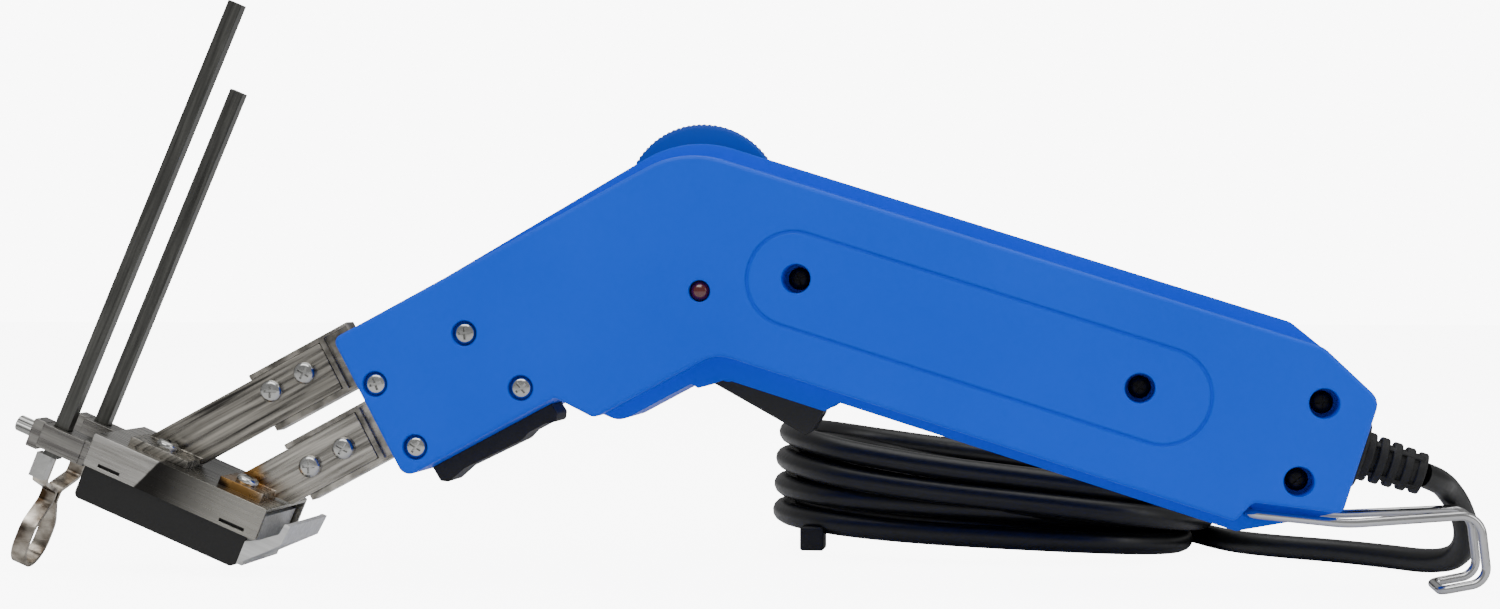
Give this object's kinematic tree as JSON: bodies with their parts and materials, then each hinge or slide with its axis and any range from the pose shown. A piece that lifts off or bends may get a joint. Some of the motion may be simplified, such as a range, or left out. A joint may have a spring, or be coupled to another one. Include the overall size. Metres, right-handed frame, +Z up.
{
  "type": "hot knife foam cutter",
  "caption": "Hand-held electric hot knife for foam: bent two-part housing with trigger and heat dial, legs carrying a grooving sled with a loop blade on sliding rods, wire bail, cord.",
  "frame": {"origin": "centre of the footprint of the tool without its cord, on the floor it stands on", "axes": "+X from the sled to the cord, +Y towards the right half of the housing (away from the pilot lamp), +Z up"},
  "size_m": [0.3726, 0.188, 0.1451],
  "materials": {
    "housing_blue": "moulded, fine satin grain",
    "dial_blue": "moulded",
    "trigger_black": "moulded",
    "rubber_black": "matt",
    "cord_black": "satin sheath",
    "plug_black": "moulded",
    "pin_brass": "bare",
    "plated_screw": "zinc plated",
    "blackened_screw": "blackened",
    "holder_steel": "milled, heat marked",
    "sled_steel": "folded sheet",
    "runner_black": "glass filled, satin",
    "rod_steel": "drawn bar",
    "loop_alloy": "heat tinted resistance band",
    "bail_wire": "plated wire",
    "pin_steel": "ground",
    "lamp_red": "clear red",
    "core_iron": "stacked laminations",
    "winding": "enamelled copper",
    "board_green": "laminate",
    "component_grey": "moulded",
    "ceramic": "fired"
  },
  "bodies": {
    "handle": {"left_shell": "housing_blue", "right_shell": "housing_blue", "nose_rest": "rubber_black", "strain_relief": "rubber_black", "cord_run": "cord_black", "cord_coil": "cord_black", "cord_tail": "cord_black", "inner_cord": "cord_black", "cord_tie": "cord_black", "plug": "plug_black", "plug_pins": "pin_brass", "upper_leg_screws": "plated_screw", "lower_leg_screws": "plated_screw", "foot_screws": "plated_screw", "nose_screws": "plated_screw", "cord_clamp_screws": "plated_screw", "grip_screws": "blackened_screw", "upper_blade_holder": "holder_steel", "lower_blade_holder": "holder_steel", "upper_leg": "holder_steel", "lower_leg": "holder_steel", "sled_channel": "sled_steel", "ski_plate": "sled_steel", "clamp_bar": "sled_steel", "near_clamp": "sled_steel", "far_clamp": "sled_steel", "sled_runner": "runner_black", "trigger_pin": "pin_steel", "trigger_spring": "pin_steel", "pilot_lamp": "lamp_red", "transformer_core": "core_iron", "primary_coil": "winding", "secondary_coil": "winding", "upper_bus_bar": "winding", "lower_bus_bar": "winding", "control_board": "board_green", "board_components": "component_grey", "potentiometer": "component_grey", "power_switch": "component_grey", "lamp_collar": "component_grey", "cord_clamp": "component_grey", "nose_insulator": "ceramic"},
    "trigger": {"trigger": "trigger_black"},
    "dial": {"temperature_dial": "dial_blue", "dial_shaft": "dial_blue"},
    "bail": {"bail": "bail_wire"},
    "cutter": {"near_rod": "rod_steel", "far_rod": "rod_steel", "loop_terminals": "rod_steel", "loop_blade": "loop_alloy"},
    "near_clamp_screw": {"near_clamp_screw": "plated_screw"},
    "far_clamp_screw": {"far_clamp_screw": "plated_screw"}
  },
  "joints": [
    {"name": "trigger_press", "type": "hinge", "parent": "handle", "child": "trigger", "pos_m": [0.00341, 0, 0.05278], "axis": [0, -1, 0], "range_deg": [0, 6], "stiffness_Nm_per_rad": 1.2, "springref_deg": -20.05, "deforming": ["trigger_spring"]},
    {"name": "dial_turn", "type": "hinge", "parent": "handle", "child": "dial", "pos_m": [-0.00442, 0, 0.09415], "axis": [0, 1, 0], "range_deg": [-135, 135]},
    {"name": "bail_swing", "type": "hinge", "parent": "handle", "child": "bail", "pos_m": [0.12869, 0, 0.01947], "axis": [0, 1, 0], "range_deg": [0, 95]},
    {"name": "depth_slide", "type": "slide", "parent": "handle", "child": "cutter", "axis": [-0.3955, 0, -0.9184], "range_m": [0, 0.06]},
    {"name": "near_screw_turn", "type": "hinge", "parent": "handle", "child": "near_clamp_screw", "pos_m": [-0.17271, -0.0125, 0.03586], "axis": [-0.9239, 0, 0.3827], "range_deg": [0, 180]},
    {"name": "far_screw_turn", "type": "hinge", "parent": "handle", "child": "far_clamp_screw", "pos_m": [-0.17271, 0.0125, 0.03586], "axis": [-0.9239, 0, 0.3827], "range_deg": [0, 180]}
  ]
}
